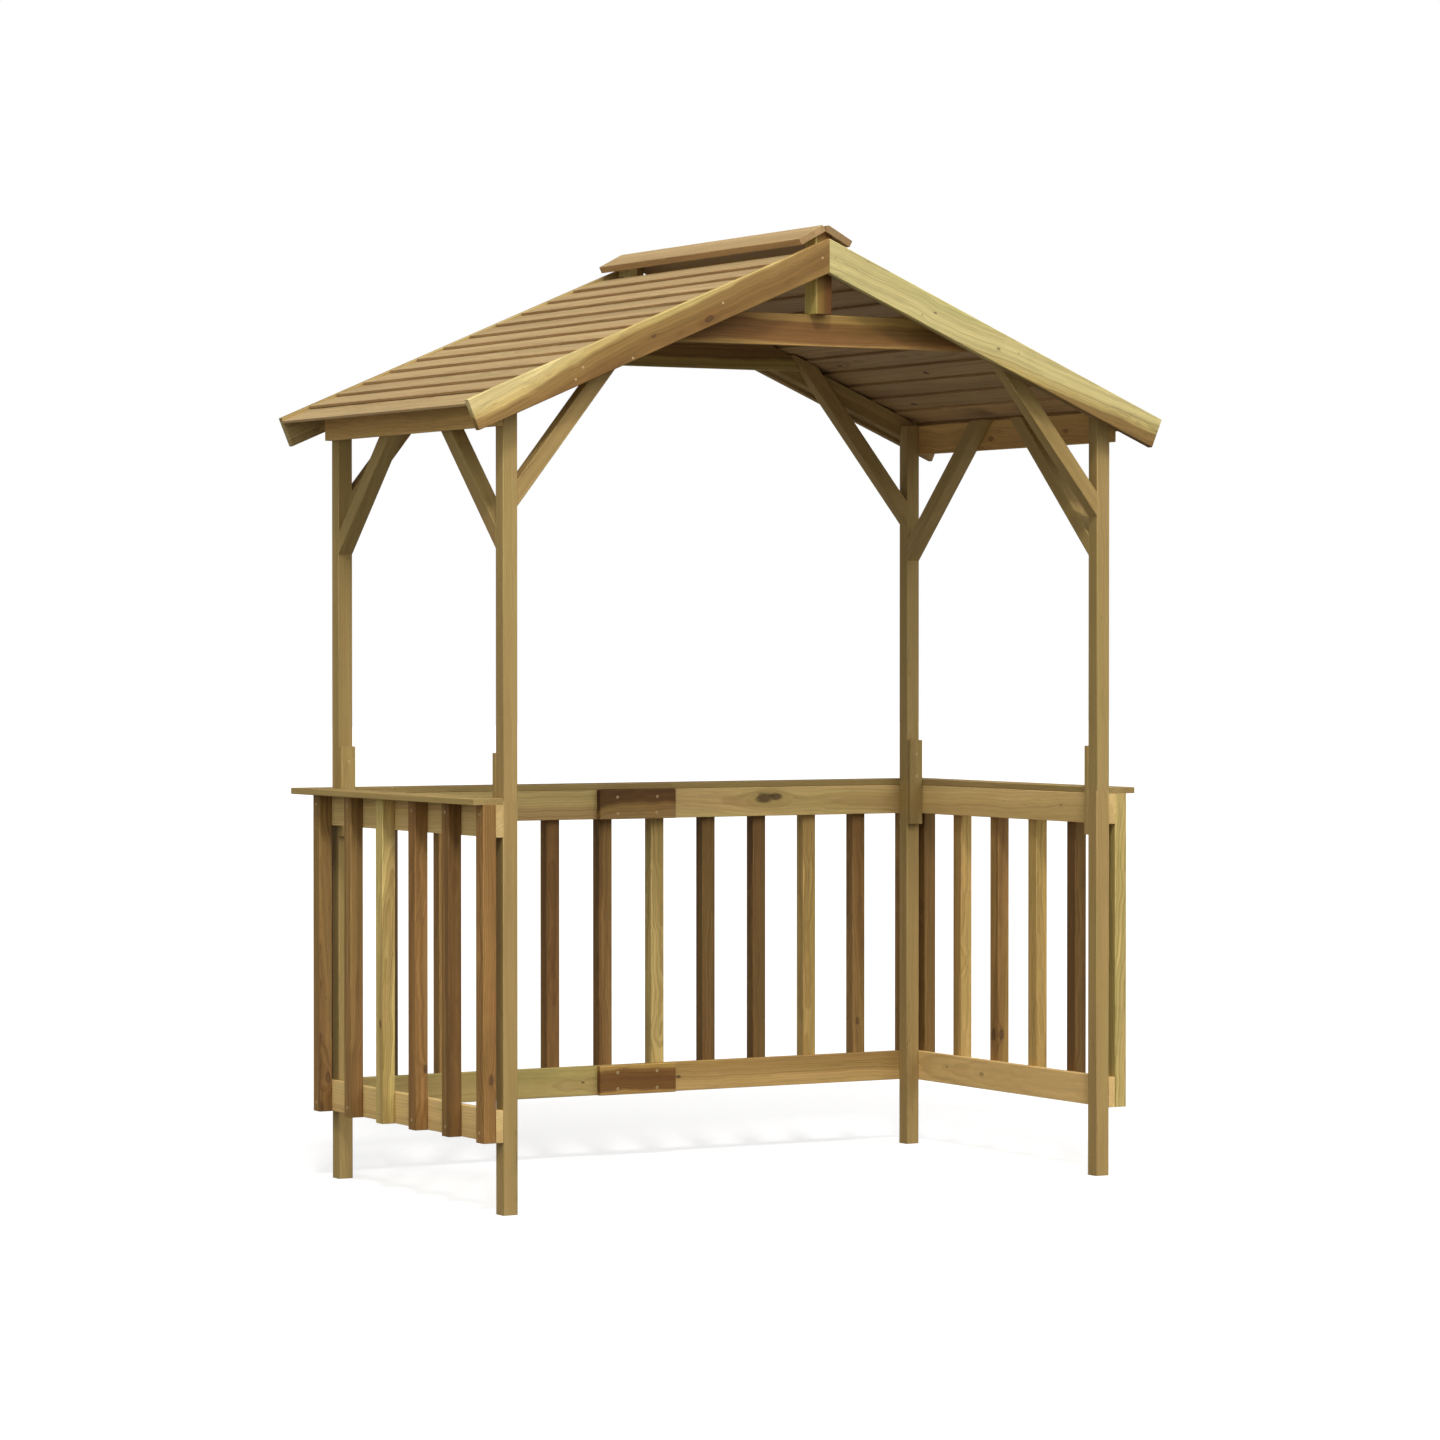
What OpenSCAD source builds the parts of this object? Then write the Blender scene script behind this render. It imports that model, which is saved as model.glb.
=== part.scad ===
// Open timber shelter for a barbecue: four spliced posts, slatted sides with a narrow
// shelf around three of them, and a pitched roof of lapped boards with a raised ridge cap.
// Millimetres. X runs left to right, Y front to rear, Z up. The origin is on the ground,
// in the middle of the whole shelter's footprint.

/* [Frame] */
// Width across the outer faces of the posts
frame_w = 1660; // [1300:10:2000]
// Depth across the outer faces of the posts
frame_d = 902; // [820:10:1300]
// Height of the posts
post_h = 1861; // [1780:10:2100]
// Height of the joint between the two lengths of a post
post_joint_z = 939; // [880:1:1000]
// Side of the square posts and braces
post_w = 37; // [32:1:50]
// Length of the plates that join two lengths of timber
plate_l = 217; // [160:1:260]
// Thickness of the joint plates
plate_t = 17; // [12:1:22]

/* [Sides] */
// Depth of the rails, beams, collar ties and ridge boards
board_w = 74; // [60:1:90]
// Thickness of the rails, beams, collar ties and barge boards
board_t = 18; // [14:1:24]
// Height of the bottom rails above the ground
rail_z = 165.5; // [80:0.5:300]
// Height of the top of the shelf above the ground
shelf_h = 946; // [800:1:1100]
// Thickness of the shelf boards
shelf_t = 15; // [12:1:24]
// Width of the shelf boards
shelf_w = 75; // [60:1:140]
// Width of a picket
picket_w = 37; // [25:1:50]
// Thickness of a picket
picket_t = 33; // [18:1:40]
// Pickets on each short side
side_pickets = 6; // [3:1:8]
// Pickets across the rear
rear_picket_count = 12; // [6:1:14]

/* [Roof] */
// Slope of the roof
roof_angle = 22.92; // [18:0.5:28]
// Reach of the barge boards beyond the posts, to each side
overhang = 116; // [60:2:180]
// Gap between the eaves beams and the roof boards
eave_gap = 5.6; // [2:0.2:12]
// Height of the barge boards above the rafters, measured square to the slope
barge_rise = 15; // [8:1:20]
// Depth of the rafters, square to the slope
rafter_d = 50; // [42:1:59]
// Least lap of one roof board over the next
roof_lap = 14; // [8:1:24]
// Width of a roof board
roof_board_w = 93; // [85:1:110]
// Thickness of a roof board
roof_board_t = 6.5; // [5:0.5:10]
// Distance from the ridge line to the uppermost roof board
ridge_opening = 56; // [40:1:62]
// Slope of the two ridge boards
cap_angle = 28; // [24:1:32]
// Thickness of the ridge boards
cap_t = 17; // [14:1:24]
// Height of the ridge boards above the rafters' top line
cap_rise = 34.3; // [30:0.1:50]
// Width of the king posts
king_w = 44; // [36:1:50]
// Depth of the king posts
king_d = 51; // [46:1:60]

/* [Bracing] */
// Height of the collar ties' underside
collar_z = 1993; // [1960:1:2010]
// Slope of the gable braces
gable_brace_angle = 51.5; // [48:0.5:56]
// Distance from the top of the posts down to the foot of the gable braces
gable_brace_drop = 255; // [200:5:300]
// Distance from the top of the posts down to the foot of the side braces
side_brace_drop = 350; // [200:5:360]

/* [Hidden] */

post_color = "#a08a56";
rail_color = "#b59a63";
picket_color = "#8a7046";
roof_color = "#b3956a";
barge_color = "#d9bd7c";
brace_color = "#8f7a4b";

// Hairline between two timbers of one node, which meet in the real thing
hairline = 0.3;

// Timber thickness of the rafters, across the slope's run
rafter_t = post_w;
// How far a barge board reaches below the rafters' tops, square to the slope
barge_drop = board_w - barge_rise;
// How far a king post reaches in front of the posts' outer faces
king_reach = 28;

// Posts: their outer faces and, for the sides, the rails outside them
post_x = frame_w / 2;
post_inner_x = post_x - post_w;
// The shelf reaches further to the rear than the barge boards, and the barge boards to the front
barge_y = rafter_t + board_t;
front_y = (barge_y - frame_d - shelf_w) / 2;
rear_y = front_y + frame_d;
mid_y = (front_y + rear_y) / 2;

shelf_z = shelf_h - shelf_t;
top_rail_z = shelf_z - board_w;
beam_z = post_h - board_w;

// Line along the rafters' tops, where the roof boards lie
roof_top_z = post_h + eave_gap + (post_x + board_t) * tan(roof_angle);
eave_x = post_x + overhang - barge_rise * sin(roof_angle);

// Roof boards: the length of slope they cover, how many it takes, the spacing of their lower
// edges, and how far one is tipped up by the board below it
slope_l = (eave_x - ridge_opening) / cos(roof_angle);
roof_board_count = ceil((slope_l - roof_board_w) / (roof_board_w - roof_lap)) + 1;
lap_pitch = (slope_l - roof_board_w) / (roof_board_count - 1);
lap_lift = (roof_board_t + hairline) * roof_board_w / lap_pitch;
roof_y0 = front_y - rafter_t;
roof_l = frame_d + 2 * rafter_t;

// Height of the rafters' top line at distance h from the ridge
function roof_z(h) = roof_top_z - h * tan(roof_angle);

// Point on the left slope: s up the slope from the eave, q square to it above the rafters
function on_slope(s, q) = [
    s * cos(roof_angle) - q * sin(roof_angle) - eave_x,
    roof_z(eave_x) + s * sin(roof_angle) + q * cos(roof_angle)
];

// Distance s at which level q of the slope meets the plumb line at distance h from the ridge
function slope_at(h, q) = (eave_x + q * sin(roof_angle) - h) / cos(roof_angle);

// Distance from the ridge to a rafter's lower end, which is plumb with the eaves beam's outer face
rafter_foot = post_x + board_t;

// Distance from the ridge at which a gable brace's edge, z high at the post, meets that line
function brace_at_roof(z) =
    (z + post_inner_x * tan(gable_brace_angle) - roof_top_z)
    / (tan(gable_brace_angle) - tan(roof_angle));

// Underside of the ridge boards at distance h from the ridge
function cap_z(h) = roof_top_z + cap_rise - h * tan(cap_angle);

// Puts a child drawn at the front left into any of the four corners
module corner(right = false, rear = false) {
    translate([0, rear ? 2 * mid_y : 0, 0])
        mirror([0, rear ? 1 : 0, 0])
            mirror([right ? 1 : 0, 0, 0])
                children();
}

// Extrudes an outline drawn in X and Z along Y, from y0 to y0 + l
module along_y(y0, l) {
    translate([0, y0 + l, 0])
        rotate([90, 0, 0])
            linear_extrude(height = l)
                children();
}

// Extrudes an outline drawn in Y and Z along X, from x0 to x0 + l
module along_x(x0, l) {
    translate([x0, 0, 0])
        rotate([90, 0, 90])
            linear_extrude(height = l)
                children();
}

module post_lower() {
    color(post_color)
        translate([-post_x, front_y, 0])
            cube([post_w, post_w, post_joint_z]);
}

module post_upper() {
    color(post_color)
        translate([-post_x, front_y, post_joint_z])
            cube([post_w, post_w, post_h - post_joint_z]);
}

// A plate on the inner face of each of the two posts of one side
module splice_plates() {
    color(post_color)
        for (right = [false, true])
            corner(right = right)
                translate([-post_x, front_y + post_w, post_joint_z - plate_l / 2])
                    cube([post_w, plate_t, plate_l]);
}

// Rail, or beam, on the outer faces of the left posts
module side_board(z) {
    color(rail_color)
        translate([-post_x - board_t, front_y, z])
            cube([board_t, frame_d, board_w]);
}

// Rear rail: two lengths that meet at mid span. It laps the right side's rail.
module rear_rail(z) {
    half = (frame_w + board_t) / 2;
    color(rail_color)
        for (x = [-post_x, -post_x + half + hairline / 2])
            translate([x, rear_y, z])
                cube([half - hairline / 2, board_t, board_w]);
}

module rail_joint_plates() {
    color(rail_color)
        for (z = [rail_z, top_rail_z])
            translate([(board_t - plate_l) / 2, rear_y - plate_t, z])
                cube([plate_l, plate_t, board_w]);
}

module left_pickets() {
    pitch = (frame_d - picket_w) / (side_pickets - 1);
    color(picket_color)
        for (i = [0 : side_pickets - 1])
            translate([-post_x - board_t - picket_t, front_y + i * pitch, rail_z])
                cube([picket_t, picket_w, shelf_z - rail_z]);
}

module rear_pickets() {
    pitch = (frame_w + board_t - picket_w) / (rear_picket_count - 1);
    color(picket_color)
        for (i = [0 : rear_picket_count - 1])
            translate([-post_x + i * pitch, rear_y + board_t, rail_z])
                cube([picket_w, picket_t, shelf_z - rail_z]);
}

module left_shelf() {
    color(rail_color)
        translate([-post_x - shelf_w, front_y, shelf_z])
            cube([shelf_w, frame_d + shelf_w, shelf_t]);
}

module rear_shelf() {
    color(rail_color)
        translate([-post_x, rear_y, shelf_z])
            cube([frame_w, shelf_w, shelf_t]);
}

// Rafter outside the post's front face, plumb at both ends and against the king post
module rafter() {
    color(brace_color)
        along_y(front_y - rafter_t, rafter_t)
            polygon([
                on_slope(slope_at(rafter_foot, -rafter_d), -rafter_d),
                on_slope(slope_at(king_w / 2, -rafter_d), -rafter_d),
                on_slope(slope_at(king_w / 2, 0), 0),
                on_slope(slope_at(rafter_foot, 0), 0)
            ]);
}

// Barge board in front of the rafter, plumb at the ridge and square at the eave
module barge_board() {
    color(barge_color)
        along_y(front_y - barge_y, board_t)
            polygon([
                on_slope(0, -barge_drop),
                on_slope(slope_at(0, -barge_drop), -barge_drop),
                on_slope(slope_at(0, barge_rise), barge_rise),
                on_slope(0, barge_rise)
            ]);
}

// Brace in the plane of the front posts, from the left post up to the roof boards
module gable_brace() {
    foot_z = post_h - gable_brace_drop;
    head_z = foot_z + post_w / cos(gable_brace_angle);
    lower_h = brace_at_roof(foot_z);
    upper_h = brace_at_roof(head_z);
    along_y(front_y, post_w)
        polygon([
            [-post_inner_x, foot_z],
            [-lower_h, roof_z(lower_h)],
            [-upper_h, roof_z(upper_h)],
            [-post_inner_x, head_z]
        ]);
}

module gable_braces() {
    color(brace_color)
        for (right = [false, true])
            corner(right = right) gable_brace();
}

// Tie across the gable: it butts the braces, and its upper corners follow the roof
module collar_tie() {
    foot_z = post_h - gable_brace_drop;
    brace_h = brace_at_roof(foot_z);
    color(rail_color)
        along_y(front_y, board_t)
            intersection() {
                translate([-post_inner_x, collar_z])
                    square([2 * post_inner_x, board_w]);
                polygon([
                    [-post_inner_x, foot_z],
                    [post_inner_x, foot_z],
                    [brace_h, roof_z(brace_h)],
                    [0, roof_top_z],
                    [-brace_h, roof_z(brace_h)]
                ]);
            }
}

// King post on the collar tie, cut to the underside of the ridge boards
module king_post() {
    half = king_w / 2;
    foot_z = collar_z + board_w;
    color(brace_color)
        along_y(front_y - king_reach, king_d)
            polygon([
                [-half, foot_z],
                [half, foot_z],
                [half, cap_z(half)],
                [0, cap_z(0)],
                [-half, cap_z(half)]
            ]);
}

// Brace at 45 degrees along the side, from the front post up to the top of the beam
module side_brace() {
    foot_z = post_h - side_brace_drop;
    head_z = foot_z + post_w / cos(45);
    inner_y = front_y + post_w;
    along_x(-post_x, post_w)
        polygon([
            [inner_y, foot_z],
            [inner_y + post_h - foot_z, post_h],
            [inner_y + post_h - head_z, post_h],
            [inner_y, head_z]
        ]);
}

module left_side_braces() {
    color(brace_color)
        for (rear = [false, true])
            corner(rear = rear) side_brace();
}

// The lowest board lies flat on the rafters, and each later one is tipped up by the one below
module left_roof_boards() {
    color(roof_color)
        along_y(roof_y0, roof_l)
            for (i = [0 : roof_board_count - 1]) {
                lift = i == 0 ? 0 : lap_lift;
                tip = asin(lift / roof_board_w);
                foot = [i * lap_pitch, lift];
                head = foot + roof_board_w * [cos(tip), -sin(tip)];
                up = roof_board_t * [sin(tip), cos(tip)];
                polygon([for (p = [foot, head, head + up, foot + up]) on_slope(p[0], p[1])]);
            }
}

module ridge_cap_left() {
    foot = [0, cap_z(0)];
    down = board_w * [-cos(cap_angle), -sin(cap_angle)];
    up = cap_t * [-sin(cap_angle), cos(cap_angle)];
    color(roof_color)
        along_y(roof_y0, roof_l)
            polygon([foot, foot + up, foot + down + up, foot + down]);
}

post_lower();  // post_front_left_lower
post_upper();  // post_front_left_upper
corner(right = true) post_lower();  // post_front_right_lower
corner(right = true) post_upper();  // post_front_right_upper
corner(rear = true) post_lower();  // post_rear_left_lower
corner(rear = true) post_upper();  // post_rear_left_upper
corner(right = true, rear = true) post_lower();  // post_rear_right_lower
corner(right = true, rear = true) post_upper();  // post_rear_right_upper
splice_plates();  // splice_plates_front
corner(rear = true) splice_plates();  // splice_plates_rear

side_board(rail_z);  // left_bottom_rail
side_board(top_rail_z);  // left_top_rail
corner(right = true) side_board(rail_z);  // right_bottom_rail
corner(right = true) side_board(top_rail_z);  // right_top_rail
rear_rail(rail_z);  // rear_bottom_rail
rear_rail(top_rail_z);  // rear_top_rail
rail_joint_plates();
left_pickets();
corner(right = true) left_pickets();  // right_pickets
rear_pickets();
left_shelf();
corner(right = true) left_shelf();  // right_shelf
rear_shelf();
side_board(beam_z);  // left_eaves_beam
corner(right = true) side_board(beam_z);  // right_eaves_beam

rafter();  // rafter_front_left
corner(right = true) rafter();  // rafter_front_right
corner(rear = true) rafter();  // rafter_rear_left
corner(right = true, rear = true) rafter();  // rafter_rear_right
barge_board();  // barge_board_front_left
corner(right = true) barge_board();  // barge_board_front_right
corner(rear = true) barge_board();  // barge_board_rear_left
corner(right = true, rear = true) barge_board();  // barge_board_rear_right
collar_tie();  // collar_tie_front
corner(rear = true) collar_tie();  // collar_tie_rear
king_post();  // king_post_front
corner(rear = true) king_post();  // king_post_rear
gable_braces();  // gable_braces_front
corner(rear = true) gable_braces();  // gable_braces_rear
left_side_braces();  // side_braces_left
corner(right = true) left_side_braces();  // side_braces_right
left_roof_boards();
corner(right = true) left_roof_boards();  // right_roof_boards
ridge_cap_left();
corner(right = true) ridge_cap_left();  // ridge_cap_right
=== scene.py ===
"""Looks of an open timber barbecue shelter, dressed around its packed construction.

Laid out as an add-on: sizes and colours are properties, each group of timbers has an
operator, and a sidebar panel lists them. Metres, +X right, +Y to the rear, +Z up.
"""

import math
import random
from collections import namedtuple

import bmesh
import bpy
from bpy.props import FloatProperty, FloatVectorProperty, PointerProperty
from mathutils import Matrix, Vector


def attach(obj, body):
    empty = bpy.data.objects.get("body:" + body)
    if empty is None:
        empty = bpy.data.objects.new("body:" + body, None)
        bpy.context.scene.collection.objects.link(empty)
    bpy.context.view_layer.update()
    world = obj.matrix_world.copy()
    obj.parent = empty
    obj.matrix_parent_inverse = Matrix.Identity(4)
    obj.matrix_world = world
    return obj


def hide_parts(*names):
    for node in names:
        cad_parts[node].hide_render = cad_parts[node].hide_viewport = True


bl_info = {
    "name": "Barbecue Shelter",
    "version": (1, 0, 0),
    "blender": (4, 5, 0),
    "location": "3D View > Sidebar > Shelter",
    "description": "Dresses the shelter's timbers with grain, knots, eased arrises and fixings",
    "category": "Add Mesh",
}

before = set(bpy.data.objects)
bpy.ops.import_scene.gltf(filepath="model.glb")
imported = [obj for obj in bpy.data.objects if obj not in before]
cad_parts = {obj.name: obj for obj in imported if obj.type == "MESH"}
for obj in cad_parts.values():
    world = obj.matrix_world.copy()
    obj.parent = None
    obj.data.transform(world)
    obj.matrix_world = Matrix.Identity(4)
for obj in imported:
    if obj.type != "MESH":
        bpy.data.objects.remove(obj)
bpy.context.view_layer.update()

BODY = "root"
SIDES = ("left", "right")
ENDS = ("front", "rear")
NO_KNOT = (0.0, 0.0, 0.0)
KNOTS_PER_BOARD = 4
# The nearest that a knot drawn at random comes to the far end of its board
KNOT_MARGIN = 0.03

# A tone says how bright a board is on the display. Its scene-linear stain takes this power of it.
DISPLAY_GAMMA = 2.2

# Corners this close are one and faces this near to flat are merged. A direction is along another
# where the cosine between them is over PARALLEL, and across it under SQUARE. A face whose cosine
# with the grain is over ENDWISE is an end.
MERGE_DISTANCE = 1e-6
FLAT_ANGLE = math.radians(0.3)
PARALLEL = 0.999
SQUARE = 0.01
ENDWISE = 0.1
ARRIS_SEGMENTS = 3

# How far fixings stray from their mark and tip over, and how deep in the wood a head's rim starts
STRAY = 0.0015
TILT = 0.04
RIM_DEPTH = 0.0004
NORMAL_DIGITS = 5
SCREW_SIDES = 24
NAIL_SIDES = 16
SCREWS_PER_SHELF = 5

# Sockets of a colour mix node
MIX_FACTOR, MIX_FIRST, MIX_SECOND, MIX_RESULT = 0, 6, 7, 2

# How one board looks: its stain and how bright that came out, where the pale sapwood starts
# from the pith, where the pith is from the board's middle (across its width, through its
# thickness) at the near end, how far it drifts both ways by the far end, and its knots as
# (along the board, across, through, radius) of where they surface.
Look = namedtuple("Look", "stain tone sap pith drift knots", defaults=(1.0, None, None, None, None))

# Boards whose stain, heart and knots are plain to see. Whatever is left out is drawn at random.
LOOKS = {
    "left_pickets": (
        Look("russet", 1.15, knots=((0.143, -0.018, 0.004, 0.005),)),
        Look("umber", 1.01, knots=()),
        Look("russet", 1.15, knots=((0.142, -0.018, 0.011, 0.004),)),
        Look("straw", 1.06, knots=((0.235, -0.007, -0.017, 0.004),)),
        Look("russet", 1.0, knots=()),
        Look("russet", 0.97, knots=((0.081, -0.018, 0.005, 0.005),)),
    ),
    "right_pickets": (
        Look("straw", 0.97, knots=()),
        Look("walnut", 0.94, knots=()),
        Look("straw", 1.16, knots=()),
        Look("russet", 1.07, knots=((0.141, -0.019, -0.006, 0.005), (0.14, 0.0, -0.017, 0.0065))),
        Look("tan", 0.95, knots=()),
        Look("walnut", 0.96, knots=()),
    ),
    "rear_pickets": (
        Look("russet"),
        Look("umber", 0.68),
        Look("russet", 1.02),
        Look("umber"),
        Look("umber", 1.01, knots=()),
        Look("umber", 0.97, knots=()),
        Look("straw", 0.97, knots=()),
        Look("walnut", 0.89, knots=()),
        Look("walnut", 0.89, knots=()),
        Look("straw", 1.09, knots=()),
        Look("russet", 0.97, knots=((0.155, -0.004, -0.017, 0.004),)),
        Look("russet", 1.06, knots=()),
    ),
    "left_bottom_rail": (Look("honey", 1.02, knots=()),),
    "left_top_rail": (Look("honey", 0.98, knots=()),),
    "right_bottom_rail": (
        Look("honey", 1.11, knots=((0.73, 0.006, -0.009, 0.003), (0.568, 0.0, -0.009, 0.004))),
    ),
    "right_top_rail": (Look("honey", 1.04, knots=((0.21, 0.003, -0.009, 0.0025),)),),
    "rear_bottom_rail": (
        Look("straw", 0.91, knots=((0.69, -0.003, -0.009, 0.002),)),
        Look("tan", 0.945, knots=((0.125, -0.001, -0.009, 0.0028),)),
    ),
    "rear_top_rail": (
        Look("honey", 0.92, knots=()),
        Look(
            "honey", 0.94, pith=(0.012, 0.03),
            knots=((0.378, 0.009, -0.009, 0.0095), (0.41, 0.012, -0.009, 0.007)),
        ),
    ),
    "rail_joint_plates": (
        Look("umber", 1.12, sap=0.026, pith=(0.0045, 0.002), drift=(0.0, 0.0), knots=()),
        Look("umber", 0.94, sap=0.053, pith=(0.03, 0.02), drift=(0.0, 0.0), knots=()),
    ),
    "barge_board_front_left": (
        Look(
            "olive", 1.08, sap=0.05, pith=(-0.06, 0.01), drift=(0.06, 0.0),
            knots=((0.499, -0.004, -0.009, 0.003), (0.651, -0.02, -0.009, 0.0045)),
        ),
    ),
    "barge_board_front_right": (
        Look(
            "straw", 0.905, sap=0.05, pith=(-0.124, 0.01), drift=(0.069, 0.0),
            knots=((0.332, 0.0, -0.009, 0.002), (0.528, -0.003, -0.009, 0.0025)),
        ),
    ),
    "barge_board_rear_left": (
        Look("tan", 0.75, sap=0.03, pith=(0.08, 0.01), drift=(0.0, 0.0), knots=()),
    ),
    "barge_board_rear_right": (
        Look("umber", 0.95, sap=0.03, pith=(0.08, 0.01), drift=(0.0, 0.0), knots=()),
    ),
    "rafter_front_right": (Look("olive", 0.9),),
    "rafter_rear_right": (Look("olive", 1.05),),
    "rafter_rear_left": (Look("olive", 1.13),),
    "collar_tie_front": (
        Look("umber", 1.12, sap=0.024, pith=(-0.007, 0.002), drift=(0.0, 0.0), knots=()),
    ),
    "collar_tie_rear": (
        Look("tan", 0.8, sap=0.02, pith=(0.006, 0.002), drift=(0.0, 0.0), knots=()),
    ),
    "king_post_front": (
        Look("olive", 1.13, sap=0.037, pith=(-0.028, 0.014), drift=(0.0, 0.0), knots=()),
    ),
    "left_eaves_beam": (Look("tan", 1.06, knots=()),),
    "right_eaves_beam": (
        Look("tan", 1.1, knots=((0.527, -0.009, -0.009, 0.005), (0.191, -0.003, -0.009, 0.004))),
    ),
    "post_front_right_lower": (Look("olive", 1.03),),
    "post_front_right_upper": (Look("olive", 0.965),),
    "post_rear_right_upper": (Look("olive", 0.95),),
    "splice_plates_rear": (Look("olive"), Look("olive", 0.93)),
    "side_braces_left": (Look("olive", 0.95), Look("olive", 0.95)),
    "side_braces_right": (Look("olive"), Look("olive", 0.95)),
    "left_shelf": (Look("olive", 1.03),),
    "rear_shelf": (Look("olive", 0.91),),
    "right_shelf": (Look("olive", 0.975),),
    "ridge_cap_left": (Look("bleached", 1.06),),
    "ridge_cap_right": (Look("bleached", 0.9),),
    "left_roof_boards": (
        *[Look("bleached")] * 5,
        *[Look("bleached", 1.05)] * 2,
        *[Look("bleached")] * 2,
        *[Look("bleached", 1.05)] * 2,
        Look("bleached"),
    ),
    "right_roof_boards": (
        *[Look("bleached")] * 2,
        *[Look("bleached", 0.91)] * 2,
        *[Look("bleached")] * 2,
        Look("bleached", 0.94, knots=((0.815, 0.0, -0.003, 0.004),)),
        Look("bleached", knots=((0.52, -0.001, -0.003, 0.005),)),
        Look("bleached"),
        Look("bleached", knots=((0.806, -0.001, -0.003, 0.005),)),
        Look("bleached", 1.14),
        Look("bleached", 0.91),
    ),
}


# ---------------- properties


def linear(red, green, blue):
    """Scene-linear colour of an 8-bit display colour."""
    return tuple(
        c / 12.92 if c <= 0.04045 else ((c + 0.055) / 1.055) ** 2.4
        for c in (red / 255, green / 255, blue / 255)
    )


def colour(name, description, red, green, blue):
    return FloatVectorProperty(
        name=name, description=description, subtype="COLOR", size=3, min=0, max=1,
        default=linear(red, green, blue),
    )


def length(name, description, default):
    return FloatProperty(
        name=name, description=description, unit="LENGTH", min=0, precision=5, default=default
    )


def strength(name, description, default):
    return FloatProperty(name=name, description=description, min=0, default=default)


class ShelterTimberSizes(bpy.types.PropertyGroup):
    """How the timbers are machined and how coarse their grain is"""

    arris: length("Arris", "Radius that the planer leaves along a timber's edges", 0.0019)
    thin_arris: length("Thin arris", "Radius along the edges of a thin roof board", 0.0011)
    end_ease: length("End ease", "Chamfer that sanding leaves round a sawn end", 0.0006)
    ring: length("Ring width", "Width of one growth ring", 0.0062)


class ShelterColours(bpy.types.PropertyGroup):
    """Stains of the treated softwood, and how its parts depart from them"""

    olive: colour("Olive", "Stain of the posts and braces", 162, 135, 83)
    straw: colour("Straw", "Stain of the pale pickets", 174, 148, 90)
    honey: colour("Honey", "Stain of the side rails", 201, 169, 110)
    tan: colour("Tan", "Stain of the eaves beams", 186, 149, 90)
    russet: colour("Russet", "Stain of the red-brown pickets", 137, 103, 57)
    umber: colour("Umber", "Stain of the brown pickets and plates", 129, 95, 51)
    walnut: colour("Walnut", "Stain of the darkest pickets", 119, 86, 44)
    bleached: colour("Bleached", "Stain of the roof boards and the ridge cap", 179, 152, 108)
    knot: colour("Knot", "Middle of a knot", 84, 56, 30)
    rim: colour("Knot rim", "Bark round a knot", 46, 31, 17)
    plating: colour("Plating", "Yellow zinc plating of the screws", 206, 182, 132)
    nail: colour("Nail", "Dull plating of the nails", 192, 162, 114)


class ShelterFixings(bpy.types.PropertyGroup):
    """Screws and nails"""

    screw: length("Screw head", "Diameter of a countersunk screw head", 0.0078)
    nail: length("Nail head", "Diameter of a roofing nail's head", 0.006)
    proud: length("Proud", "Height of a head above the wood", 0.0004)


class ShelterStudio(bpy.types.PropertyGroup):
    """Floor and lamps"""

    floor: colour("Floor", "Pale studio floor", 244, 243, 240)
    key: strength("Key", "Strength of the lamp over the left shoulder", 1.47)
    front: strength("Front", "Strength of the wide lamp in front", 1.84)
    left: strength("Left", "Strength of the wide lamp on the left", 1.6)
    right: strength("Right", "Strength of the wide lamp on the right", 1.05)
    sky: strength("Sky", "Strength of the even light", 0.13)


# ---------------- node trees


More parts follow.
